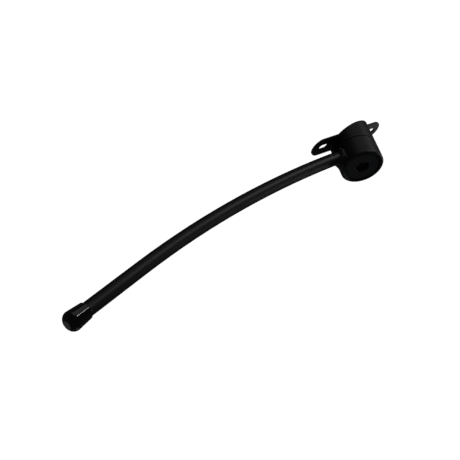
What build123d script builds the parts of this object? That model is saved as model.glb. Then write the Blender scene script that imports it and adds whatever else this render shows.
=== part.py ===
"""Pivoting curved arm on a mitred wall bracket.

Frame: origin on the base strap's mounting face, midway between its two slots.
+X runs along the strap, +Z points away from the mounting surface. The drum's axis leans
from +Z towards -X, and the arm leaves the drum towards -X, parallel to the strap.
Stations are distances along the leaned axis, from the strap's top face at 0. Sizes in mm.
"""

import os
from math import cos, degrees, radians, sin, sqrt

from build123d import *

os.makedirs("parts", exist_ok=True)

# ---- base strap ------------------------------------------------------------------------
strap_w = 24.0              # flat bar width; both ends are half-round
strap_t = 1.9               # flat bar thickness
slot_w = 6.6                # clears an M6 or a 1/4 in screw
slot_len = 12.6             # end to end
screw_room_left = 7.94      # collar to slot, under the leaning drum
screw_room_right = 1.72     # collar to slot, other side
strap_tail_left = 15.8      # slot centre to strap end, arm side
strap_tail_right = 13.1

# ---- collar and drum, cut from one tube ------------------------------------------------
lean = 21.0                 # lean of the drum's axis from the strap's normal, degrees
drum_r = 24.15              # 48.3 mm tube
tube_wall = 4.05
front_station = 43.9        # drum's front face
drum_len = 24.6
seam_gap = 0.4              # between drum and collar
rim_round = 2.4             # front rim of the drum
edge_round = 0.5            # drum's rear edge and the collar's front edge

# ---- arm -------------------------------------------------------------------------------
arm_r = 7.0                 # 14 mm tube
arm_wall = 1.5
arm_rise = 0.7              # its centre line meets the axis this far above the drum's rear
arm_bend = 322.0            # length of the curved stretch, from the axis
arm_tail = 75.0             # straight stretch up to the cap's mouth
bend_radius = 1225.0        # the arm curves away from the wall
arm_weld_leg = 5.0

# ---- end cap ---------------------------------------------------------------------------
cap_mouth_r = 8.3
cap_end_r = 9.6
cap_len = 23.4
cap_nose_round = 6.8
cap_lip = 0.5               # rounded edge of the mouth
cap_grip = 17.0             # length of tube inside the cap

# ---- pivot inside ----------------------------------------------------------------------
post_r = 7.95               # turned post
web_t = 6.0                 # collar web
web_spigot = 0.8            # its front face stands this far past the collar, inside the drum
hub_t = 4.9                 # drum web
bush_bore_clear = 0.05      # running fit of the bushes on the post, radial
bush_wall = 1.45
bush_flange_r = 12.0
bush_flange_t = 1.2
bush_gap = 0.2              # between the two bushes' sleeves
spring_t = 1.0              # disc spring sheet
spring_h = 1.2              # free height of one disc spring
spring_r = 14.0
spring_count = 2
friction_t = 0.9
friction_r = 14.5
pin_r = 2.5                 # stop pin
pin_circle = 15.5           # its distance from the axis
pin_in_drum = 3.0           # how far it reaches into the drum web
swing = 90.0                # stop to stop is twice this
screw_r = 4.0               # M8
screw_len = 18.0
head_r = 6.5                # low head, ISO 14580 size
head_h = 5.0
hex_flats = 5.0
hex_depth = 3.0
washer_r = 11.0
washer_t = 2.0
weld_leg = 2.0              # inner beads

# ---- front cover -----------------------------------------------------------------------
cover_gap = 0.65            # groove between the cover and the bore of the drum
cover_sink = 0.8            # cover face below the drum's front
cover_t = 3.0
cover_edge = 0.6            # chamfer around the face
recess_r = 7.5              # counterbore over the screw's head
boss_wall = 2.0
skirt_wall = 2.2
skirt_len = 6.0
skirt_in = 0.45             # skirt's step in from the cover's edge
ring_r = 0.9                # section radius of the retaining ring
ring_bite = 0.3             # ring's depth in the skirt

# ---- clearances ------------------------------------------------------------------------
slip = 0.05                 # pieces fixed to each other
body_gap = 0.3              # pieces that turn past each other
pin_clear = 0.5             # stop pin in its slot, across
seal_gap = 0.5              # dust seal above the collar web
boss_gap = 1.0              # cover boss above the washer

# ---- worked out ------------------------------------------------------------------------
bore_r = drum_r - tube_wall
drum_rear = front_station - drum_len
collar_front = drum_rear - seam_gap
web_front = collar_front + web_spigot
web_rear = web_front - web_t
rear_flange = web_front + body_gap
hub_rear = rear_flange + bush_flange_t
hub_front = hub_rear + hub_t
friction_top = hub_front + bush_flange_t + friction_t
post_front = friction_top + body_gap + spring_count * spring_h
hub_middle = (hub_rear + hub_front) / 2
bush_r = post_r + bush_bore_clear
sleeve_r = bush_r + bush_wall
washer_top = post_front + washer_t
cover_face = front_station - cover_sink
cover_back = cover_face - cover_t
cover_r = bore_r - cover_gap
skirt_r = cover_r - skirt_in
arm_root = drum_rear + arm_rise

lean_cos, lean_sin = cos(radians(lean)), sin(radians(lean))
collar_foot = drum_r / lean_cos           # half of the collar's footprint along X
slot_left = collar_foot + screw_room_left + slot_len / 2
slot_right = collar_foot + screw_room_right + slot_len / 2
slot_spacing = slot_left + slot_right
axis_x = (slot_left - slot_right) / 2     # where the axis meets the strap's top face
strap_left = slot_spacing / 2 + strap_tail_left
strap_right = slot_spacing / 2 + strap_tail_right
axis_foot = Vector(axis_x, 0, strap_t)
lean_dir = Vector(-lean_sin, 0, lean_cos)
across_dir = Vector(lean_cos, 0, lean_sin)
drum_axis = Axis(axis_foot, lean_dir)
half_section = Plane(axis_foot, x_dir=across_dir, z_dir=(0, -1, 0))   # local (radius, station)


def station(distance):
    """Plane across the leaned axis at a station."""
    return Plane(axis_foot + lean_dir * distance, x_dir=across_dir, z_dir=lean_dir)


# ======================================================================================
# Fixed base
# ======================================================================================

slot_places = [(-slot_spacing / 2, 0), (slot_spacing / 2, 0)]
strap_end_r = strap_w / 2

with BuildPart() as base_strap:
    with BuildSketch(Plane.XY):
        with Locations(((strap_right - strap_left) / 2, 0)):
            SlotOverall(strap_left + strap_right, strap_w)
        with Locations(*slot_places):
            SlotOverall(slot_len, slot_w, mode=Mode.SUBTRACT)
    extrude(amount=strap_t)
    chamfer(base_strap.edges().group_by(Axis.Z)[-1], 0.3)
base_strap.part.label = "base_strap"
export_step(base_strap.part, "parts/base_strap.step")

# The collar's tube reaches the mounting face, notched over the strap.
collar_depth = collar_front + drum_r      # past the mounting face on the long side
with BuildPart() as base_collar:
    with BuildSketch(station(collar_front)):
        Circle(drum_r)
        Circle(bore_r, mode=Mode.SUBTRACT)
    extrude(amount=-collar_depth)
    split(bisect_by=Plane.XY, keep=Keep.TOP)
    with Locations((axis_x, 0, strap_t / 2)):
        Box(4 * drum_r, strap_w + 2 * slip, strap_t, mode=Mode.SUBTRACT)
    collar_rims = base_collar.edges().filter_by(GeomType.CIRCLE)
    fillet(collar_rims.sort_by(SortBy.RADIUS)[-1], edge_round)
base_collar.part.label = "base_collar"
export_step(base_collar.part, "parts/base_collar.step")

bead_leg = 1.6
bead_half_w = strap_w / 2 - 0.8
with BuildPart() as strap_weld:
    with BuildSketch(station(collar_front)):
        Circle(drum_r + bead_leg)
        Circle(drum_r, mode=Mode.SUBTRACT)
    extrude(amount=-collar_depth)
    bead_zone_x = 2 * (drum_r + bead_leg) / lean_cos + 4 * bead_leg
    with Locations((axis_x, 0, strap_t + bead_leg / 2)):
        Box(bead_zone_x, 2 * bead_half_w, bead_leg, mode=Mode.INTERSECT)
    bead_tops = strap_weld.edges().group_by(Axis.Z)[-1]
    chamfer(bead_tops.sort_by(Axis.X)[-1], 0.55 * bead_leg)
    bead_tops = strap_weld.edges().group_by(Axis.Z)[-1]
    chamfer(bead_tops.sort_by(Axis.X)[0], 0.55 * bead_leg)
strap_weld.part.label = "strap_weld"
export_step(strap_weld.part, "parts/strap_weld.step")

pin_plane = station(web_rear)
with BuildPart() as collar_web:
    with BuildSketch(half_section):
        with BuildLine():
            Polyline(
                (post_r + slip, web_rear),
                (bore_r - slip, web_rear),
                (bore_r - slip, collar_front - seam_gap),
                (bore_r - body_gap - slip, collar_front - seam_gap),
                (bore_r - body_gap - slip, web_front),
                (post_r + slip, web_front),
                close=True,
            )
        make_face()
    revolve(axis=drum_axis)
    with BuildSketch(pin_plane):
        with Locations((-pin_circle, 0)):
            Circle(pin_r + slip)
    extrude(amount=web_t, mode=Mode.SUBTRACT)
collar_web.part.label = "collar_web"
export_step(collar_web.part, "parts/collar_web.step")

with BuildPart() as collar_web_weld:
    with BuildSketch(half_section):
        with BuildLine():
            Polyline(
                (bore_r - slip, web_rear - weld_leg),
                (bore_r - slip, web_rear),
                (bore_r - slip - weld_leg, web_rear),
                close=True,
            )
        make_face()
    revolve(axis=drum_axis)
collar_web_weld.part.label = "collar_web_weld"
export_step(collar_web_weld.part, "parts/collar_web_weld.step")

post_rear = web_rear - weld_leg
thread_depth = screw_len - washer_t + 1.0
with BuildPart() as pivot_post:
    with BuildSketch(station(post_rear)):
        Circle(post_r)
    extrude(amount=post_front - post_rear)
    with BuildSketch(station(post_front)):
        Circle(screw_r + slip)
    extrude(amount=-thread_depth, mode=Mode.SUBTRACT)
    post_rims = pivot_post.edges().filter_by(GeomType.CIRCLE).group_by(drum_axis)
    chamfer(post_rims[0], 0.4)
pivot_post.part.label = "pivot_post"
export_step(pivot_post.part, "parts/pivot_post.step")

with BuildPart() as post_weld:
    with BuildSketch(half_section):
        with BuildLine():
            Polyline(
                (post_r + slip, post_rear + 0.5),
                (post_r + slip, web_rear),
                (post_r + slip + weld_leg, web_rear),
                close=True,
            )
        make_face()
    revolve(axis=drum_axis)
post_weld.part.label = "post_weld"
export_step(post_weld.part, "parts/post_weld.step")

pin_len = hub_rear + pin_in_drum - web_rear
with BuildPart() as stop_pin:
    with BuildSketch(pin_plane):
        with Locations((-pin_circle, 0)):
            Circle(pin_r)
    extrude(amount=pin_len)
    chamfer(stop_pin.edges().filter_by(GeomType.CIRCLE), 0.4)
stop_pin.part.label = "stop_pin"
export_step(stop_pin.part, "parts/stop_pin.step")

with BuildPart() as disc_springs:
    for index in range(spring_count):
        low = post_front - (index + 1) * spring_h
        rise = spring_h - spring_t
        inner, outer = (low, low + rise) if index % 2 else (low + rise, low)
        with BuildSketch(half_section):
            with BuildLine():
                Polyline(
                    (bush_r + body_gap, inner),
                    (spring_r, outer),
                    (spring_r, outer + spring_t),
                    (bush_r + body_gap, inner + spring_t),
                    close=True,
                )
            make_face()
        revolve(axis=drum_axis)
disc_springs.part.label = "disc_springs"
export_step(disc_springs.part, "parts/disc_springs.step")

with BuildPart() as screw_washer:
    with BuildSketch(station(post_front)):
        Circle(washer_r)
        Circle(screw_r + 0.2, mode=Mode.SUBTRACT)
    extrude(amount=washer_t)
    washer_rims = screw_washer.edges().filter_by(GeomType.CIRCLE).group_by(drum_axis)
    chamfer(washer_rims[-1], 0.3)
screw_washer.part.label = "screw_washer"
export_step(screw_washer.part, "parts/screw_washer.step")

with BuildPart() as pivot_screw:
    with BuildSketch(station(washer_top)):
        Circle(head_r)
    extrude(amount=head_h)
    head_rims = pivot_screw.edges().filter_by(GeomType.CIRCLE).group_by(drum_axis)
    fillet(head_rims[-1], 0.6)
    with BuildSketch(station(washer_top)):
        Circle(screw_r)
    extrude(amount=-screw_len)
    with BuildSketch(station(washer_top + head_h)):
        RegularPolygon(hex_flats / 2, 6, major_radius=False)
    extrude(amount=-hex_depth, mode=Mode.SUBTRACT)
    shank_rims = pivot_screw.edges().filter_by(GeomType.CIRCLE).group_by(drum_axis)
    chamfer(shank_rims[0], 0.6)
pivot_screw.part.label = "pivot_screw"
export_step(pivot_screw.part, "parts/pivot_screw.step")

# ======================================================================================
# Swinging arm
# ======================================================================================

with BuildPart() as drum_shell:
    with BuildSketch(station(drum_rear)):
        Circle(drum_r)
        Circle(bore_r, mode=Mode.SUBTRACT)
    extrude(amount=drum_len)
    rim_groups = drum_shell.edges().filter_by(GeomType.CIRCLE).group_by(drum_axis)
    front_outer = rim_groups[-1].sort_by(SortBy.RADIUS)[-1]
    front_inner = rim_groups[-1].sort_by(SortBy.RADIUS)[0]
    rear_outer = rim_groups[0].sort_by(SortBy.RADIUS)[-1]
    fillet(front_outer, rim_round)
    fillet(rear_outer, edge_round)
    chamfer(front_inner, 0.4)
drum_shell.part.label = "drum_shell"
export_step(drum_shell.part, "parts/drum_shell.step")

slot_half_w = pin_r + pin_clear
with BuildPart() as drum_web:
    with BuildSketch(station(hub_rear)):
        Circle(bore_r - slip)
        Circle(sleeve_r + slip, mode=Mode.SUBTRACT)
    extrude(amount=hub_front - hub_rear)
    with BuildSketch(station(hub_rear)):
        with BuildLine() as pin_path:
            CenterArc((0, 0), pin_circle, 180 - swing, 2 * swing)
        SlotArc(pin_path.wire(), 2 * slot_half_w)
    extrude(amount=pin_in_drum + pin_clear, mode=Mode.SUBTRACT)
drum_web.part.label = "drum_web"
export_step(drum_web.part, "parts/drum_web.step")

with BuildPart() as drum_web_weld:
    with BuildSketch(half_section):
        with BuildLine():
            Polyline(
                (bore_r - slip, hub_front + weld_leg),
                (bore_r - slip, hub_front),
                (bore_r - slip - weld_leg, hub_front),
                close=True,
            )
        make_face()
    revolve(axis=drum_axis)
drum_web_weld.part.label = "drum_web_weld"
export_step(drum_web_weld.part, "parts/drum_web_weld.step")

with BuildPart() as rear_bush:
    with BuildSketch(half_section):
        with BuildLine():
            Polyline(
                (bush_r, rear_flange),
                (bush_flange_r, rear_flange),
                (bush_flange_r, hub_rear),
                (sleeve_r, hub_rear),
                (sleeve_r, hub_middle - bush_gap / 2),
                (bush_r, hub_middle - bush_gap / 2),
                close=True,
            )
        make_face()
    revolve(axis=drum_axis)
rear_bush.part.label = "rear_bush"
export_step(rear_bush.part, "parts/rear_bush.step")

with BuildPart() as front_bush:
    with BuildSketch(half_section):
        with BuildLine():
            Polyline(
                (bush_r, hub_front + bush_flange_t),
                (bush_flange_r, hub_front + bush_flange_t),
                (bush_flange_r, hub_front),
                (sleeve_r, hub_front),
                (sleeve_r, hub_middle + bush_gap / 2),
                (bush_r, hub_middle + bush_gap / 2),
                close=True,
            )
        make_face()
    revolve(axis=drum_axis)
front_bush.part.label = "front_bush"
export_step(front_bush.part, "parts/front_bush.step")

with BuildPart() as friction_washer:
    with BuildSketch(station(friction_top - friction_t)):
        Circle(friction_r)
        Circle(bush_r + body_gap, mode=Mode.SUBTRACT)
    extrude(amount=friction_t)
friction_washer.part.label = "friction_washer"
export_step(friction_washer.part, "parts/friction_washer.step")

seal_in_r = pin_circle + slot_half_w + 0.2
seal_t = hub_rear - web_front - seal_gap
with BuildPart() as dust_seal:
    with BuildSketch(station(hub_rear - seal_t)):
        Circle(bore_r - slip)
        Circle(seal_in_r, mode=Mode.SUBTRACT)
    extrude(amount=seal_t)
dust_seal.part.label = "dust_seal"
export_step(dust_seal.part, "parts/dust_seal.step")

ring_circle = skirt_r - ring_bite + ring_r
ring_station = cover_back - skirt_len / 2
with BuildPart() as front_cover:
    with BuildSketch(half_section):
        with BuildLine():
            Polyline(
                (recess_r, washer_top + boss_gap),
                (recess_r + boss_wall, washer_top + boss_gap),
                (recess_r + boss_wall, cover_back),
                (skirt_r - skirt_wall, cover_back),
                (skirt_r - skirt_wall, cover_back - skirt_len),
                (skirt_r, cover_back - skirt_len),
                (skirt_r, cover_back),
                (cover_r, cover_back),
                (cover_r, cover_face - cover_edge),
                (cover_r - cover_edge, cover_face),
                (recess_r + 0.4, cover_face),
                (recess_r, cover_face - 0.4),
                close=True,
            )
        make_face()
        with Locations((ring_circle, ring_station)):
            Circle(ring_r + slip, mode=Mode.SUBTRACT)
    revolve(axis=drum_axis)
front_cover.part.label = "front_cover"
export_step(front_cover.part, "parts/front_cover.step")

ring_out = bore_r - slip - ring_circle     # the ring is flattened by the drum's bore
with BuildPart() as cover_ring:
    with BuildSketch(half_section):
        with Locations((ring_circle, ring_station)):
            Circle(ring_r)
        with Locations((ring_circle + ring_out + ring_r, ring_station)):
            Rectangle(2 * ring_r, 4 * ring_r, mode=Mode.SUBTRACT)
    revolve(axis=drum_axis)
cover_ring.part.label = "cover_ring"
export_step(cover_ring.part, "parts/cover_ring.step")

# ---- arm tube, its weld and its cap ----------------------------------------------------
arm_start = axis_foot + lean_dir * arm_root
arm_turn = degrees(arm_bend / bend_radius)
turn_cos, turn_sin = cos(radians(arm_turn)), sin(radians(arm_turn))
mouth_dir = Vector(-turn_cos, 0, turn_sin)
bend_end = arm_start + Vector(-turn_sin, 0, 1 - turn_cos) * bend_radius
mouth_centre = bend_end + mouth_dir * arm_tail
cap_axis = Axis(mouth_centre, mouth_dir)
cap_section = Plane(mouth_centre, x_dir=mouth_dir, z_dir=(0, 1, 0))    # local (length, radius)


def arm_rod(radius):
    """Solid rod along the arm's centre line, into the cap."""
    with BuildPart() as rod:
        with BuildLine(Plane.XZ) as centre_line:
            arc = JernArc((arm_start.X, arm_start.Z), (-1, 0), bend_radius, -arm_turn)
            Line(arc @ 1, arc @ 1 + (arc % 1) * (arm_tail + cap_grip))
        with BuildSketch(Plane(arm_start, x_dir=(0, 1, 0), z_dir=(-1, 0, 0))):
            Circle(radius)
        sweep(path=centre_line.wire())
    return rod.part


def drum_envelope(radius):
    """Solid cylinder on the drum's axis, longer than the drum at both ends."""
    with BuildPart() as envelope:
        with BuildSketch(station(drum_rear - drum_r)):
            Circle(radius)
        extrude(amount=drum_len + 2 * drum_r)
    return envelope.part


arm_outer = arm_rod(arm_r)
arm_inner = arm_rod(arm_r - arm_wall)
drum_solid = drum_envelope(drum_r)

with BuildPart() as arm_tube:
    add(arm_outer)
    add(arm_inner, mode=Mode.SUBTRACT)
    add(drum_solid, mode=Mode.SUBTRACT)
arm_tube.part.label = "arm_tube"
export_step(arm_tube.part, "parts/arm_tube.step")

with BuildPart() as arm_weld:
    with BuildSketch(Plane(arm_start, x_dir=(0, 1, 0), z_dir=(-1, 0, 0))):
        Circle(arm_r + arm_weld_leg)
    extrude(amount=2 * drum_r)
    with BuildSketch(station(drum_rear)):
        Circle(drum_r + arm_weld_leg)
    extrude(amount=drum_len, mode=Mode.INTERSECT)
    add(drum_solid, mode=Mode.SUBTRACT)
    add(arm_outer, mode=Mode.SUBTRACT)
arm_weld.part.label = "arm_weld"
export_step(arm_weld.part, "parts/arm_weld.step")

nose_start = cap_len - cap_nose_round
nose_diag = cap_nose_round / sqrt(2)
lip_diag = cap_lip / sqrt(2)
with BuildPart() as arm_end_cap:
    with BuildSketch(cap_section):
        with BuildLine():
            Line((0, arm_r), (0, cap_mouth_r - cap_lip))
            ThreePointArc(
                (0, cap_mouth_r - cap_lip),
                (cap_lip - lip_diag, cap_mouth_r - cap_lip + lip_diag),
                (cap_lip, cap_mouth_r),
            )
            Line((cap_lip, cap_mouth_r), (nose_start, cap_end_r))
            ThreePointArc(
                (nose_start, cap_end_r),
                (nose_start + nose_diag, cap_end_r - cap_nose_round + nose_diag),
                (cap_len, cap_end_r - cap_nose_round),
            )
            Line((cap_len, cap_end_r - cap_nose_round), (cap_len, 0))
            Line((cap_len, 0), (cap_grip, 0))
            Line((cap_grip, 0), (cap_grip, arm_r))
            Line((cap_grip, arm_r), (0, arm_r))
        make_face()
    revolve(axis=cap_axis)
arm_end_cap.part.label = "arm_end_cap"
export_step(arm_end_cap.part, "parts/arm_end_cap.step")
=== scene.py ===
"""Blender scene of a black steel arm that pivots on a slanted drum.

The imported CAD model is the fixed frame. The tubes, strap, cover and screw keep their CAD
shapes and are dressed here; the weld beads and the dipped end cap are modelled here.
"""

import logging
import math
from dataclasses import dataclass, field
from enum import Enum
from typing import Callable, Optional, Sequence

import bmesh
import bpy
from mathutils import Matrix, Vector, noise

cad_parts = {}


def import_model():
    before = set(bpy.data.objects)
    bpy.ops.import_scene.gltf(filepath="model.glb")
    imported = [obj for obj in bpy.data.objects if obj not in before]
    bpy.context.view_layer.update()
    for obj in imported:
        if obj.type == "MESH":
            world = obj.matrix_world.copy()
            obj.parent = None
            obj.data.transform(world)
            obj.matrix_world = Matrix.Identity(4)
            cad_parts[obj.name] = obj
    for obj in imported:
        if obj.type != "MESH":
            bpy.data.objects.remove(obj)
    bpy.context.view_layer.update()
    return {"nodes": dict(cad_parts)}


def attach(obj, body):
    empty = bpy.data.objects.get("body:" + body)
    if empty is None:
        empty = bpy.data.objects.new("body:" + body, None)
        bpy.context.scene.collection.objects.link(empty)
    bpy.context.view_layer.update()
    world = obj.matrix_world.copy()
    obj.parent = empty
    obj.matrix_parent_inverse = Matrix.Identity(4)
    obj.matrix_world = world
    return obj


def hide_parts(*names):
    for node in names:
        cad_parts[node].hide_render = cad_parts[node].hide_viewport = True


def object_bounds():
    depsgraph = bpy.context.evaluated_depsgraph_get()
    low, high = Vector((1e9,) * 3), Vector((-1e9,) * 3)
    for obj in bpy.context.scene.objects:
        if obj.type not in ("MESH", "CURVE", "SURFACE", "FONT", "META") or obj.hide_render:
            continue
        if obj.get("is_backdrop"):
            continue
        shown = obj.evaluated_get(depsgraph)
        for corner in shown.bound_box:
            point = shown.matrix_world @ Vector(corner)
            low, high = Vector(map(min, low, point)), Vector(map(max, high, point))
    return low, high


log = logging.getLogger("pivot_arm")
MM = 0.001

# Driving sizes of the CAD model, in millimetres.
LEAN_DEG = 21.0
STRAP_T = 1.9
STRAP_W = 24.0
DRUM_R = 24.15
FRONT_STATION = 43.9
DRUM_LEN = 24.6
ARM_R = 7.0
ARM_RISE = 0.7
ARM_BEND = 322.0
ARM_TAIL = 75.0
BEND_RADIUS = 1225.0
SCREW_ROOM = (7.94, 1.72)

LEAN = math.radians(LEAN_DEG)
DRUM_REAR = FRONT_STATION - DRUM_LEN
LEAN_DIR = Vector((-math.sin(LEAN), 0.0, math.cos(LEAN)))
ACROSS_DIR = Vector((math.cos(LEAN), 0.0, math.sin(LEAN)))
AXIS_FOOT = Vector(((SCREW_ROOM[0] - SCREW_ROOM[1]) / 2, 0.0, STRAP_T))
ARM_START = AXIS_FOOT + LEAN_DIR * (DRUM_REAR + ARM_RISE)


# --------------------------------------------------------------------------------------
# Colour and node helpers
# --------------------------------------------------------------------------------------


def linear(hex_colour: str, alpha: float = 1.0) -> tuple[float, float, float, float]:
    """Turn an sRGB hex value to linear RGBA.

    Args:
        hex_colour: Six hex digits with a leading hash.
        alpha: Alpha of the result.

    Returns:
        Linear red, green, blue and alpha.
    """
    channels = [int(hex_colour[i : i + 2], 16) / 255 for i in (1, 3, 5)]
    values = [c / 12.92 if c <= 0.04045 else ((c + 0.055) / 1.055) ** 2.4 for c in channels]
    return (values[0], values[1], values[2], alpha)


def add_node(
    tree: bpy.types.NodeTree,
    kind: str,
    inputs: Optional[dict] = None,
    **settings,
) -> bpy.types.Node:
    """Add a node, set its properties and fill or link its inputs.

    Args:
        tree: Node tree that gets the node.
        kind: Blender's node type name.
        inputs: Socket name or index to a value, or to a socket to link from.
        **settings: Properties of the node itself.

    Returns:
        The new node.
    """
    node = tree.nodes.new(kind)
    for name, value in settings.items():
        setattr(node, name, value)
    for key, value in (inputs or {}).items():
        socket = node.inputs[key]
        if isinstance(value, bpy.types.NodeSocket):
            tree.links.new(value, socket)
        else:
            socket.default_value = value
    return node


# --------------------------------------------------------------------------------------
# Finishes
# --------------------------------------------------------------------------------------


@dataclass(frozen=True)
class Finish:
    """A surface finish: what the shader needs and the sizes of its patterns.

    Attributes:
        name: Material name.
        slot: The record's material slot; not used.
        colour: sRGB hex of the base colour.
        roughness: Mean roughness.
        metallic: 1 for bare metal, 0 for a coat or a plastic.
        ior: Index of refraction of the coat or plastic.
        grain_mm: Size of the surface grain.
        grain_height_mm: Height of that grain.
        wave_mm: Size of the slow waviness under the grain.
        wave_height_mm: Height of that waviness.
        mottle: Share by which the colour wanders.
        rough_swing: How far the roughness wanders.
        turned_mm: Spacing of turning marks round the pivot's axis, or 0.
    """

    name: str
    slot: str
    colour: str
    roughness: float
    metallic: float = 0.0
    ior: float = 1.5
    grain_mm: float = 0.8
    grain_height_mm: float = 0.01
    wave_mm: float = 12.0
    wave_height_mm: float = 0.02
    mottle: float = 0.1
    rough_swing: float = 0.05
    turned_mm: float = 0.0

    def build(self) -> bpy.types.Material:
        """Make the procedural material.

        Returns:
            The material, with colour, roughness and bump from nodes.
        """
        material = bpy.data.materials.new(self.name)
        material.use_nodes = True
        tree = material.node_tree
        tree.nodes.clear()
        place = add_node(tree, "ShaderNodeTexCoord").outputs["Object"]
        grain = self._noise(tree, place, self.grain_mm, 3.0)
        wave = self._noise(tree, place, self.wave_mm, 2.0)
        tone = add_node(
            tree,
            "ShaderNodeMapRange",
            {"Value": wave, "To Min": 1 - self.mottle, "To Max": 1 + self.mottle},
        ).outputs["Result"]
        base = add_node(
            tree,
            "ShaderNodeVectorMath",
            {0: linear(self.colour)[:3], "Scale": tone},
            operation="SCALE",
        ).outputs["Vector"]
        rough = add_node(
            tree,
            "ShaderNodeMapRange",
            {
                "Value": grain,
                "To Min": self.roughness - self.rough_swing,
                "To Max": self.roughness + self.rough_swing,
            },
        ).outputs["Result"]
        slow = add_node(
            tree, "ShaderNodeBump", {"Height": wave, "Distance": self.wave_height_mm * MM}
        ).outputs["Normal"]
        fine = add_node(
            tree,
            "ShaderNodeBump",
            {"Height": grain, "Distance": self.grain_height_mm * MM, "Normal": slow},
        ).outputs["Normal"]
        if self.turned_mm:
            fine = self._turning_marks(tree, place, fine)
        shader = add_node(
            tree,
            "ShaderNodeBsdfPrincipled",
            {
                "Base Color": base,
                "Roughness": rough,
                "Normal": fine,
                "Metallic": self.metallic,
                "IOR": self.ior,
            },
        )
        add_node(tree, "ShaderNodeOutputMaterial", {"Surface": shader.outputs["BSDF"]})
        return material

    def _noise(
        self,
        tree: bpy.types.NodeTree,
        place: bpy.types.NodeSocket,
        size_mm: float,
        detail: float,
    ) -> bpy.types.NodeSocket:
        """Noise with features of a real size.

        Args:
            tree: Node tree that gets the node.
            place: Coordinates in metres.
            size_mm: Size of one feature.
            detail: Octaves of finer noise.

        Returns:
            The noise value's socket.
        """
        node = add_node(
            tree,
            "ShaderNodeTexNoise",
            {"Vector": place, "Scale": 1 / (size_mm * MM), "Detail": detail},
        )
        return node.outputs["Fac"]

    def _turning_marks(
        self,
        tree: bpy.types.NodeTree,
        place: bpy.types.NodeSocket,
        normal: bpy.types.NodeSocket,
    ) -> bpy.types.NodeSocket:
        """Fine rings round the pivot's axis, as a lathe leaves them.

        Args:
            tree: Node tree that gets the nodes.
            place: Coordinates in metres.
            normal: Normal that the rings add to.

        Returns:
            The new normal's socket.
        """
        local = add_node(
            tree,
            "ShaderNodeMapping",
            {"Vector": place, "Location": AXIS_FOOT * MM, "Rotation": (0.0, -LEAN, 0.0)},
            vector_type="TEXTURE",
        ).outputs["Vector"]
        rings = add_node(
            tree,
            "ShaderNodeTexWave",
            {
                "Vector": local,
                "Scale": 1 / (self.turned_mm * MM * 20),
                "Distortion": 0.6,
                "Detail": 2.0,
            },
            wave_type="RINGS",
            rings_direction="Z",
        ).outputs["Fac"]
        return add_node(
            tree, "ShaderNodeBump", {"Height": rings, "Distance": 0.008 * MM, "Normal": normal}
        ).outputs["Normal"]


class Coat(Enum):
    """Every finish on the object."""

    # Baked powder coat on steel: near black, a soft wide sheen, faint orange peel.
    POWDER = Finish(
        "satin_powder_coat",
        "black_coat",
        "#101112",
        0.47,
        grain_mm=1.1,
        grain_height_mm=0.02,
        wave_mm=14.0,
        wave_height_mm=0.03,
        mottle=0.12,
    )
    # The same coat pooled over a weld bead: a little glossier and thicker.
    POWDER_ON_WELD = Finish(
        "powder_coat_on_weld",
        "black_coat",
        "#111213",
        0.3,
        grain_mm=1.6,
        grain_height_mm=0.015,
        wave_mm=5.0,
        wave_height_mm=0.04,
    )
    # Dip-moulded soft vinyl: wet-looking black with slow waves from the dip.
    VINYL = Finish(
        "dipped_vinyl",
        "cap_vinyl",
        "#060607",
        0.06,
        ior=1.6,
        grain_mm=4.0,
        grain_height_mm=0.004,
        wave_mm=18.0,
        wave_height_mm=0.02,
        rough_swing=0.02,
    )
    # Injection-moulded nylon with a spark-eroded texture: cool, very dark grey, no highlight.
    MOULDED_NYLON = Finish(
        "moulded_black_nylon",
        "cover_plastic",
        "#292d33",
        0.62,
        ior=1.53,
        grain_mm=0.35,
        grain_height_mm=0.02,
        mottle=0.08,
    )
    # Blackened and oiled screw steel.
    BLACK_OXIDE = Finish(
        "black_oxide_steel",
        "black_oxide",
        "#55585c",
        0.48,
        metallic=1.0,
        grain_mm=0.5,
        turned_mm=0.25,
    )
    # Turned mild steel, left bare inside.
    BARE_STEEL = Finish(
        "turned_mild_steel",
        "bare_steel",
        "#a3a3a1",
        0.34,
        metallic=1.0,
        grain_mm=0.6,
        turned_mm=0.3,
    )
    # Zinc plate: pale, slightly blue, with a soft shine.
    ZINC = Finish("zinc_plate", "zinc_steel", "#c3c8cd", 0.28, metallic=1.0, grain_mm=0.4)
    # Tempered spring steel: dark with an oil film.
    SPRING = Finish(
        "tempered_spring_steel", "spring_steel", "#6b6f78", 0.3, metallic=1.0, grain_mm=0.5
    )
    # Natural nylon bush: milky and slightly waxy.
    NATURAL_NYLON = Finish("natural_nylon", "bush_nylon", "#ddd8c6", 0.45, ior=1.53)
    # Nitrile rubber with a dusty skin.
    NITRILE = Finish("nitrile_rubber", "seal_rubber", "#18181a", 0.7, ior=1.52, grain_mm=0.4)


class Palette:
    """Builds each finish once and hands it out."""

    def __init__(self) -> None:
        """Start with nothing built."""
        self._built: dict[Coat, bpy.types.Material] = {}

    def of(self, coat: Coat) -> bpy.types.Material:
        """The material of a finish, built on first use.

        Args:
            coat: Which finish.

        Returns:
            Its material.
        """
        if coat not in self._built:
            self._built[coat] = coat.value.build()
        return self._built[coat]

    def dress_node(self, node: bpy.types.Object, coat: Coat) -> None:
        """Give a CAD node its finish by its material slots.

        Args:
            node: CAD object, left where it is.
            coat: Its finish.
        """
        if not node.material_slots:
            node.data.materials.append(None)
        for slot in node.material_slots:
            slot.material = self.of(coat)
        log.info("dressed %s in %s", node.name, coat.value.name)

    def dress_piece(self, piece: bpy.types.Object, coat: Coat) -> None:
        """Give a new piece its finish.

        Args:
            piece: Object made here.
            coat: Its finish.
        """
        piece.data.materials.clear()
        piece.data.materials.append(self.of(coat))


# --------------------------------------------------------------------------------------
# Mesh helpers
# --------------------------------------------------------------------------------------


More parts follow.
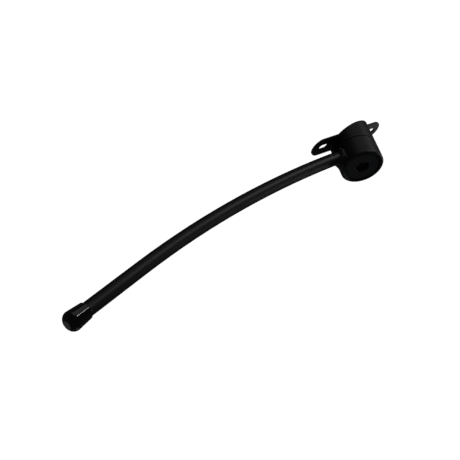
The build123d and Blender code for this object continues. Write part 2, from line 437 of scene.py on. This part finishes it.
def object_from_rings(
    name: str,
    rings: Sequence[Sequence[Vector]],
    closed_along: bool = False,
) -> bpy.types.Object:
    """Skin equal rings of points, given in millimetres, into a smooth mesh.

    Args:
        name: Name of the piece.
        rings: Rings with the same number of points each.
        closed_along: True if the last ring joins the first. Otherwise the first and the
            last ring are each closed with a face.

    Returns:
        The new object, linked to the scene.
    """
    mesh = bmesh.new()
    made = [[mesh.verts.new(point * MM) for point in ring] for ring in rings]
    count = len(made[0])
    last = len(made) if closed_along else len(made) - 1
    for i in range(last):
        here, there = made[i], made[(i + 1) % len(made)]
        for j in range(count):
            mesh.faces.new((here[j], here[(j + 1) % count], there[(j + 1) % count], there[j]))
    if not closed_along:
        mesh.faces.new(list(reversed(made[0])))
        mesh.faces.new(made[-1])
    bmesh.ops.recalc_face_normals(mesh, faces=mesh.faces)
    data = bpy.data.meshes.new(name)
    mesh.to_mesh(data)
    mesh.free()
    data.shade_smooth()
    piece = bpy.data.objects.new(name, data)
    bpy.context.scene.collection.objects.link(piece)
    return piece


@dataclass(frozen=True)
class Corner:
    """One place on the run of a bead, in millimetres.

    Attributes:
        point: The corner between the two surfaces.
        first: Unit direction along the first surface, away from the corner.
        second: Unit direction along the second surface.
        first_leg: Leg of the bead on the first surface.
        second_leg: Leg on the second surface.
        crown: Bulge as a share of the leg; below zero the bead is hollow.
        fall: How far the first surface curves away under the bead's edge.
        ripple: Factor on the ripples' height.
    """

    point: Vector
    first: Vector
    second: Vector
    first_leg: float
    second_leg: float
    crown: float
    fall: Vector
    ripple: float = 1.0


@dataclass
class WeldBead:
    """A weld bead with ripples, laid along a run of corners.

    Attributes:
        name: Name of the piece.
        ripple_mm: Spacing of the ripples along the run.
        ripple_height_mm: Height of one ripple.
        lumpiness: Share by which the legs wander.
        lump_mm: Length of bead over which a lump comes and goes.
        wander: How far a ripple strays from its place, as a share of the spacing.
        wander_pace: How much faster that changes than the lumps do.
        seed: Shifts the lumps.
        profile_points: Points across the bead.
        step_mm: Distance between rings.
        fewest_rings: Rings on even the shortest bead.
        root_mm: How far the bead's root is buried.
        sink_mm: How far its face is pressed into the surfaces, so no slit shows.
    """

    name: str
    ripple_mm: float = 2.2
    ripple_height_mm: float = 0.3
    lumpiness: float = 0.2
    lump_mm: float = 14.0
    wander: float = 0.3
    wander_pace: float = 1.7
    seed: float = 0.0
    profile_points: int = 20
    step_mm: float = 0.22
    fewest_rings: int = 24
    root_mm: float = 0.5
    sink_mm: float = 0.06

    def build(
        self, corner: Callable[[float], Corner], length_mm: float, closed: bool
    ) -> bpy.types.Object:
        """Skin the bead.

        Args:
            corner: Gives the corner for a share of the run from 0 to 1.
            length_mm: Length of the run.
            closed: True if the run closes on itself.

        Returns:
            The bead's object.
        """
        steps = max(self.fewest_rings, int(length_mm / self.step_mm))
        rings = []
        for i in range(steps if closed else steps + 1):
            share = i / steps
            rings.append(self._section(corner(share), share, length_mm))
        return object_from_rings(self.name, rings, closed_along=closed)

    def _section(self, corner: Corner, share: float, length_mm: float) -> list[Vector]:
        """One ring of the bead.

        Args:
            corner: The corner here.
            share: Share of the run.
            length_mm: Length of the run.

        Returns:
            The ring's points.
        """
        turn = 2 * math.pi * share
        spread = length_mm / self.lump_mm
        place = Vector((math.cos(turn), math.sin(turn), self.seed)) * spread
        lump = 1 + self.lumpiness * noise.noise(place)
        first, second = corner.first_leg * lump, corner.second_leg * lump
        ripples = max(1, round(length_mm / self.ripple_mm))
        stray = self.wander * noise.noise(place * self.wander_pace)
        phase = (share * ripples + stray) % 1.0
        ripple = self.ripple_height_mm * corner.ripple * math.sin(math.pi * phase)
        out = (corner.first * second + corner.second * first).normalized()
        ring = [corner.point - out * self.root_mm]
        for k in range(self.profile_points):
            t = k / (self.profile_points - 1)
            flat = corner.first * (first * (1 - t)) + corner.second * (second * t)
            arch = corner.crown * min(first, second) + ripple
            bulge = math.sin(math.pi * t) * arch - self.sink_mm
            ring.append(corner.point + flat + out * bulge + corner.fall * (1 - t) ** 2)
        return ring


# --------------------------------------------------------------------------------------
# Sub-assemblies
# --------------------------------------------------------------------------------------


@dataclass
class BaseAssembly:
    """The fixed strap and collar with the post and screw inside.

    Attributes:
        palette: Finishes.
        bead_leg_mm: Leg of the beads that join the collar to the strap.
        bead_margin_mm: Bare strap left at each end of a bead.
        bead_crown: Bulge of those beads, as a share of the leg.
        bead_taper: Leg at a bead's ends, as a share of its middle.
        bead_growth: How fast the leg grows to full size along the bead.
    """

    palette: Palette
    bead_leg_mm: float = 1.4
    bead_margin_mm: float = 1.2
    bead_crown: float = 0.1
    bead_taper: float = 0.4
    bead_growth: float = 5.0
    finishes: dict[str, Coat] = field(
        default_factory=lambda: {
            "base_strap": Coat.POWDER,
            "base_collar": Coat.POWDER,
            "collar_web": Coat.BARE_STEEL,
            "collar_web_weld": Coat.BARE_STEEL,
            "pivot_post": Coat.BARE_STEEL,
            "post_weld": Coat.BARE_STEEL,
            "stop_pin": Coat.ZINC,
            "disc_springs": Coat.SPRING,
            "screw_washer": Coat.ZINC,
            "pivot_screw": Coat.BLACK_OXIDE,
        }
    )

    def dress(self, nodes: dict[str, bpy.types.Object]) -> None:
        """Finish the CAD nodes of the base.

        Args:
            nodes: The frame's nodes by name.
        """
        for name, coat in self.finishes.items():
            self.palette.dress_node(nodes[name], coat)

    def build(self) -> None:
        """Lay the two visible beads between the collar and the strap."""
        arm_side = self._strap_bead("strap_weld_arm_side", -1)
        far_side = self._strap_bead("strap_weld_far_side", 1)
        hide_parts("strap_weld")
        for piece in (arm_side, far_side):
            self.palette.dress_piece(piece, Coat.POWDER_ON_WELD)
            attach(piece, "base")
            log.info("made %s", piece.name)

    def _strap_bead(self, name: str, side: int) -> bpy.types.Object:
        """One bead across the strap, along the collar's foot.

        Args:
            name: Name of the piece.
            side: 1 for +X, -1 for -X.

        Returns:
            The bead's object.
        """
        long_r = DRUM_R / math.cos(LEAN)
        half_w = STRAP_W / 2 - self.bead_margin_mm
        reach = math.asin(half_w / DRUM_R)

        def corner(share: float) -> Corner:
            """Corner of collar and strap at a share of the bead."""
            angle = (2 * share - 1) * reach
            over = Vector((side * long_r * math.cos(angle), DRUM_R * math.sin(angle), 0.0))
            away = Vector((side * math.cos(angle) / long_r, math.sin(angle) / DRUM_R, 0.0))
            grown = self.bead_taper + self.bead_growth * min(share, 1 - share)
            leg = self.bead_leg_mm * min(1.0, grown)
            return Corner(
                AXIS_FOOT + over,
                away.normalized(),
                LEAN_DIR,
                leg,
                leg,
                self.bead_crown,
                Vector(),
            )

        bead = WeldBead(name, ripple_mm=1.8, ripple_height_mm=0.15, seed=3.0 + side)
        return bead.build(corner, 2 * reach * DRUM_R, closed=False)


@dataclass
class EndCap:
    """The dipped cap on the arm's end, turned about the tube's last straight.

    Attributes:
        mouth_r_mm: Outer radius at the mouth.
        end_r_mm: Outer radius where the nose starts.
        length_mm: Length from the mouth to the tip.
        nose_mm: Radius of the rounded nose.
        lip_mm: Radius of the mouth's rounded edge.
        grip_mm: Length of tube inside the cap.
        hold_mm: Short step beside a sharp edge, so smooth shading keeps the edge.
        pole_mm: Radius at which the turned profile stops short of its axis.
        curve_steps: Steps along each rounded edge.
        points_round: Points round the cap.
    """

    mouth_r_mm: float = 8.3
    end_r_mm: float = 9.6
    length_mm: float = 23.4
    nose_mm: float = 6.8
    lip_mm: float = 0.5
    grip_mm: float = 17.0
    hold_mm: float = 0.1
    pole_mm: float = 0.02
    curve_steps: int = 16
    points_round: int = 128

    def _profile(self) -> list[tuple[float, float]]:
        """The profile, from the bottom of the hole out to the tip.

        Returns:
            Pairs of distance from the mouth and radius.
        """
        grip, hold = self.grip_mm, self.hold_mm
        steps = self.curve_steps
        quarter = [math.pi / 2 * k / steps for k in range(steps + 1)]
        hole = [
            (grip, self.pole_mm),
            (grip, ARM_R - hold),
            (grip, ARM_R),
            (grip - hold, ARM_R),
            (hold, ARM_R),
            (0.0, ARM_R),
            (0.0, ARM_R + hold),
        ]
        lip_r = self.mouth_r_mm - self.lip_mm
        lip = [
            (self.lip_mm * (1 - math.cos(a)), lip_r + self.lip_mm * math.sin(a))
            for a in quarter
        ]
        # The side is a plain cone. Its rings only keep the faces short.
        start = self.length_mm - self.nose_mm
        rise = (self.end_r_mm - self.mouth_r_mm) / (start - self.lip_mm)
        side = [
            (x, self.mouth_r_mm + (x - self.lip_mm) * rise)
            for x in (0.8, 4.0, 8.0, 12.0, start - 0.4)
        ]
        flat = self.end_r_mm - self.nose_mm
        nose = [
            (start + self.nose_mm * math.sin(a), flat + self.nose_mm * math.cos(a))
            for a in quarter
        ]
        tip = [(self.length_mm, flat * 0.6), (self.length_mm, self.pole_mm)]
        return hole + lip + side + nose + tip

    def build(self) -> bpy.types.Object:
        """Turn the profile about the tube's last straight.

        Returns:
            The cap's object.
        """
        bent = ARM_BEND / BEND_RADIUS
        ahead = Vector((-math.cos(bent), 0.0, math.sin(bent)))
        lift = Vector((-math.sin(bent), 0.0, 1 - math.cos(bent))) * BEND_RADIUS
        mouth = ARM_START + lift + ahead * ARM_TAIL
        out = Vector((0.0, 1.0, 0.0))
        side = ahead.cross(out)
        turns = [2 * math.pi * k / self.points_round for k in range(self.points_round)]
        rings = [
            [
                mouth + ahead * x + (out * math.cos(turn) + side * math.sin(turn)) * radius
                for turn in turns
            ]
            for x, radius in self._profile()
        ]
        return object_from_rings("end_cap_dipped", rings)


@dataclass
class ArmAssembly:
    """The swinging drum, its inner parts, the arm and the end cap.

    Attributes:
        palette: Finishes.
        cap: The end cap.
        side_leg_mm: Leg of the bead at the sides of the arm's root.
        front_leg_mm: Leg on the drum's wall, on the side of the drum's front.
        front_arm_leg_mm: Leg on the arm there.
        lumpiness: Share by which the legs wander.
        side_crown: Bulge at the sides, as a share of the leg.
        front_crown: The same on the side of the drum's front, where the bead is hollow.
        front_smoothing: Share of the ripples' height that is ground off there.
        front_sharpness: Power by which the front side's sizes fade to the sides.
        parting_gap_mm: Bare wall left between the bead and the parting line.
        run_stretch: Length of the bead's run, as a share of the arm's girth.
    """

    palette: Palette
    cap: EndCap = field(default_factory=EndCap)
    side_leg_mm: float = 3.8
    front_leg_mm: float = 9.6
    front_arm_leg_mm: float = 8.2
    lumpiness: float = 0.25
    side_crown: float = 0.16
    front_crown: float = -0.24
    front_smoothing: float = 0.85
    front_sharpness: float = 1.5
    parting_gap_mm: float = 0.3
    run_stretch: float = 1.15
    finishes: dict[str, Coat] = field(
        default_factory=lambda: {
            "drum_shell": Coat.POWDER,
            "drum_web": Coat.BARE_STEEL,
            "drum_web_weld": Coat.BARE_STEEL,
            "rear_bush": Coat.NATURAL_NYLON,
            "front_bush": Coat.NATURAL_NYLON,
            "friction_washer": Coat.ZINC,
            "dust_seal": Coat.NITRILE,
            "front_cover": Coat.MOULDED_NYLON,
            "cover_ring": Coat.NITRILE,
            "arm_tube": Coat.POWDER,
        }
    )

    def dress(self, nodes: dict[str, bpy.types.Object]) -> None:
        """Finish the CAD nodes of the arm.

        Args:
            nodes: The frame's nodes by name.
        """
        for name, coat in self.finishes.items():
            self.palette.dress_node(nodes[name], coat)

    def build(self) -> None:
        """Lay the bead round the arm's root and turn the end cap."""
        made = (
            (self._root_bead(), "arm_weld", Coat.POWDER_ON_WELD),
            (self.cap.build(), "arm_end_cap", Coat.VINYL),
        )
        for piece, replaced, coat in made:
            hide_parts(replaced)
            self.palette.dress_piece(piece, coat)
            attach(piece, "arm")
            log.info("made %s", piece.name)

    def _root_bead(self) -> bpy.types.Object:
        """The bead where the arm's round tube meets the drum's round wall.

        Returns:
            The bead's object.
        """

        def saddle(angle: float) -> Vector:
            """Point on both the arm and the drum, at an angle round the arm."""
            ring = Vector((0.0, ARM_R * math.cos(angle), ARM_R * math.sin(angle)))
            start = ARM_START + ring - AXIS_FOOT
            reach = math.sqrt(DRUM_R**2 - start.y**2)
            walk = (start.dot(ACROSS_DIR) + reach) / math.cos(LEAN)
            return AXIS_FOOT + start - Vector((walk, 0.0, 0.0))

        def drum_normal(point: Vector) -> tuple[Vector, float]:
            """Outward direction from the drum's axis, and the distance from it."""
            arm = point - AXIS_FOOT
            radial = arm - LEAN_DIR * arm.dot(LEAN_DIR)
            return radial.normalized(), radial.length

        def corner(share: float) -> Corner:
            """Corner of arm and drum at a share of the way round."""
            angle = 2 * math.pi * share
            point = saddle(angle)
            nudge = 0.01
            ahead = (saddle(angle + nudge) - saddle(angle - nudge)).normalized()
            on_drum = ahead.cross(drum_normal(point)[0]).normalized()
            if on_drum.dot(Vector((0.0, math.cos(angle), math.sin(angle)))) < 0:
                on_drum.negate()
            front = max(0.0, math.sin(angle)) ** self.front_sharpness
            drum_leg = self.side_leg_mm + (self.front_leg_mm - self.side_leg_mm) * front
            arm_leg = self.side_leg_mm + (self.front_arm_leg_mm - self.side_leg_mm) * front
            down = -on_drum.dot(LEAN_DIR)
            if down > 0.05:  # here the bead grows towards the parting line
                station = (point - AXIS_FOOT).dot(LEAN_DIR)
                room = station - DRUM_REAR - self.parting_gap_mm
                drum_leg = min(drum_leg, room / down / (1 + self.lumpiness))
            normal, distance = drum_normal(point + on_drum * drum_leg)
            crown = self.side_crown + (self.front_crown - self.side_crown) * front
            return Corner(
                point,
                on_drum,
                Vector((-1.0, 0.0, 0.0)),
                drum_leg,
                arm_leg,
                crown,
                -normal * (distance - DRUM_R),
                ripple=1 - self.front_smoothing * front,
            )

        bead = WeldBead(
            "arm_weld_bead", ripple_mm=2.8, ripple_height_mm=0.5, lumpiness=self.lumpiness
        )
        girth = 2 * math.pi * ARM_R
        return bead.build(corner, girth * self.run_stretch, closed=True)


# --------------------------------------------------------------------------------------
# Stage
# --------------------------------------------------------------------------------------


@dataclass(frozen=True)
class Softbox:
    """A rectangular studio lamp that faces the object.

    Attributes:
        name: Name of the light.
        towards: Direction from the object to the lamp.
        distance_m: Distance between them.
        wide_m: Side of the lamp along its long direction.
        tall_m: Its other side.
        watts: Power.
        along: Direction of the long side.
    """

    name: str
    towards: tuple[float, float, float]
    distance_m: float
    wide_m: float
    tall_m: float
    watts: float
    along: tuple[float, float, float] = (1.0, 0.0, 0.0)

    def build(self, centre: Vector) -> None:
        """Hang the lamp.

        Args:
            centre: Point that it faces.
        """
        data = bpy.data.lights.new(self.name, "AREA")
        data.shape = "RECTANGLE"
        data.size, data.size_y, data.energy = self.wide_m, self.tall_m, self.watts
        back = Vector(self.towards).normalized()
        side = Vector(self.along)
        side = (side - back * side.dot(back)).normalized()
        turn = Matrix((side, back.cross(side), back)).transposed().to_4x4()
        light = bpy.data.objects.new(self.name, data)
        light.visible_camera = False
        light.matrix_world = Matrix.Translation(centre + back * self.distance_m) @ turn
        bpy.context.scene.collection.objects.link(light)


@dataclass
class Stage:
    """The pale floor, the studio light and the camera.

    Attributes:
        floor_drop_m: Floor below the object's lowest point.
        floor_half_m: Half the floor's side.
        surround: Brightness of the surround as the object sees it.
        lamps: The studio lamps.
        camera_place: Where the camera stands.
        camera_ahead: Direction in which it looks.
        camera_up: Its upward direction.
        lens_mm: Focal length.
        sensor_mm: Width of the sensor.
    """

    floor_drop_m: float = 0.35
    floor_half_m: float = 14.0
    surround: float = 0.035
    lamps: tuple[Softbox, ...] = (
        Softbox("key", (0.72, 0.69, -0.09), 1.32, 0.9, 0.04, 1.9, (-0.97, 0.0, 0.26)),
        Softbox("overhead", (0.255, 0.81, -0.53), 1.3, 1.0, 1.0, 0.85),
        Softbox("side", (0.97, -0.1, 0.22), 0.54, 0.26, 0.16, 0.3, (0.0, 1.0, 0.0)),
        Softbox("front_fill", (0.0, -0.7, 0.75), 1.2, 0.5, 0.5, 0.18),
        Softbox("rear", (-0.5, -0.9, -0.1), 1.6, 1.0, 0.6, 0.3),
    )
    camera_place: tuple[float, float, float] = (-0.84244, 0.74276, 0.47794)
    camera_ahead: tuple[float, float, float] = (0.59374, -0.70027, -0.39635)
    camera_up: tuple[float, float, float] = (0.28189, 0.64237, -0.71267)
    lens_mm: float = 86.6
    sensor_mm: float = 36.0

    def build(self) -> None:
        """Make the floor, world, lights and camera."""
        self._floor()
        self._world()
        self._camera()
        low, high = (Vector(corner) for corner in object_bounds())
        centre = (low + high) / 2
        for lamp in self.lamps:
            lamp.build(centre)

    def _floor(self) -> None:
        """A plain pale floor."""
        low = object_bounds()[0][2] - self.floor_drop_m
        half = self.floor_half_m
        data = bpy.data.meshes.new("floor")
        corners = [
            (x * half, y * half, low) for x, y in ((-1, -1), (1, -1), (1, 1), (-1, 1))
        ]
        data.from_pydata(corners, [], [(0, 1, 2, 3)])
        floor = bpy.data.objects.new("floor", data)
        floor.visible_glossy = False
        floor.visible_diffuse = False
        bpy.context.scene.collection.objects.link(floor)
        material = bpy.data.materials.new("pale_floor")
        material.use_nodes = True
        shader = material.node_tree.nodes["Principled BSDF"]
        shader.inputs["Base Color"].default_value = linear("#f4f4f4")
        shader.inputs["Roughness"].default_value = 0.9
        shader.inputs["Emission Color"].default_value = linear("#ffffff")
        shader.inputs["Emission Strength"].default_value = 1.0
        data.materials.append(material)
        floor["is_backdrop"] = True

    def _world(self) -> None:
        """A surround that is white behind the object and dim as a light."""
        world = bpy.data.worlds.new("studio")
        bpy.context.scene.world = world
        world.use_nodes = True
        tree = world.node_tree
        seen = add_node(tree, "ShaderNodeLightPath").outputs["Is Camera Ray"]
        level = add_node(
            tree,
            "ShaderNodeMapRange",
            {"Value": seen, "To Min": self.surround, "To Max": 1.0},
        ).outputs["Result"]
        background = tree.nodes["Background"]
        background.inputs["Color"].default_value = linear("#ffffff")
        tree.links.new(level, background.inputs["Strength"])

    def _camera(self) -> None:
        """The camera at the object's viewing angle."""
        data = bpy.data.cameras.new("camera")
        data.lens = self.lens_mm
        data.sensor_width = self.sensor_mm
        data.clip_start, data.clip_end = 0.05, 60.0
        camera = bpy.data.objects.new("camera", data)
        ahead = Vector(self.camera_ahead).normalized()
        right = ahead.cross(Vector(self.camera_up)).normalized()
        up = right.cross(ahead)
        turn = Matrix((right, up, -ahead)).transposed().to_4x4()
        camera.matrix_world = Matrix.Translation(Vector(self.camera_place)) @ turn
        bpy.context.scene.collection.objects.link(camera)
        bpy.context.scene.camera = camera


def main() -> None:
    """Load the frame, dress it, add the mesh pieces and set the stage."""
    logging.basicConfig(level=logging.INFO)
    bpy.context.scene.view_settings.view_transform = "Standard"
    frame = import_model()
    palette = Palette()
    for assembly in (BaseAssembly(palette), ArmAssembly(palette)):
        assembly.dress(frame["nodes"])
        assembly.build()
    Stage().build()


if __name__ == "__main__":
    main()
